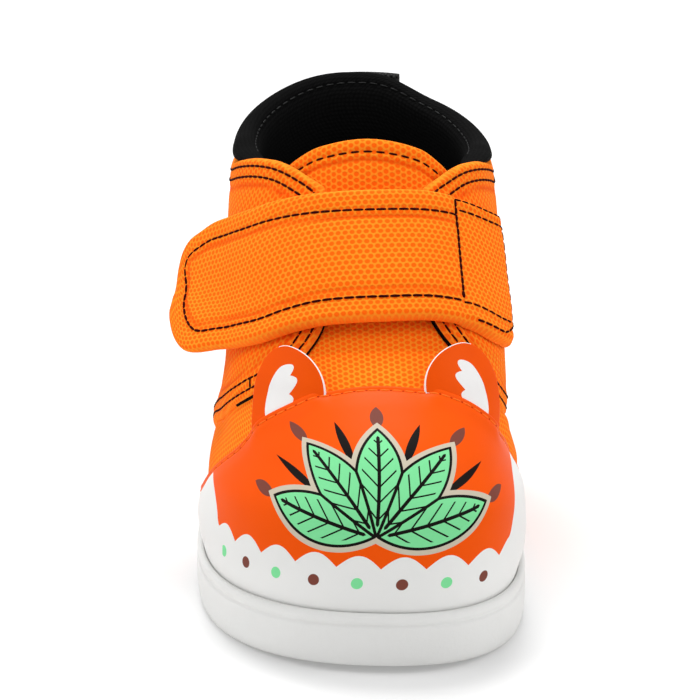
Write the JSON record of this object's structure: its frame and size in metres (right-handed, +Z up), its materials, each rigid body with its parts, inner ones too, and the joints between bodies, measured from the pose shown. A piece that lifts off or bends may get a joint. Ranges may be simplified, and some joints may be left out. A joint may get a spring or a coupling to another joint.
{
  "type": "toddler strap shoe",
  "caption": "Toddler's mid-top canvas shoe with a wide hook-and-loop strap, padded collar and tongue, smooth toe cap with upright tabs and a white rubber cup sole.",
  "frame": {"origin": "middle of the shoe's own box, on the ground plane that the tread stands on", "axes": "+Y from toe to heel, +X to the medial (big toe) side of this right shoe, +Z up"},
  "size_m": [0.0745, 0.1396, 0.0897],
  "materials": {
    "sole_rubber": "matt moulded",
    "footbed": "brushed",
    "canvas": "coarse weave",
    "cap_leather": "smooth satin",
    "collar_cloth": "padded",
    "webbing": "woven"
  },
  "bodies": {
    "root": {"outsole": "sole_rubber", "insole": "footbed", "upper": "canvas", "toe_cap": "cap_leather", "tongue": "canvas", "collar": "collar_cloth", "strap": "canvas", "ear_tab_lateral": "cap_leather", "ear_tab_medial": "cap_leather", "heel_pull_tab": "webbing"}
  },
  "joints": []
}
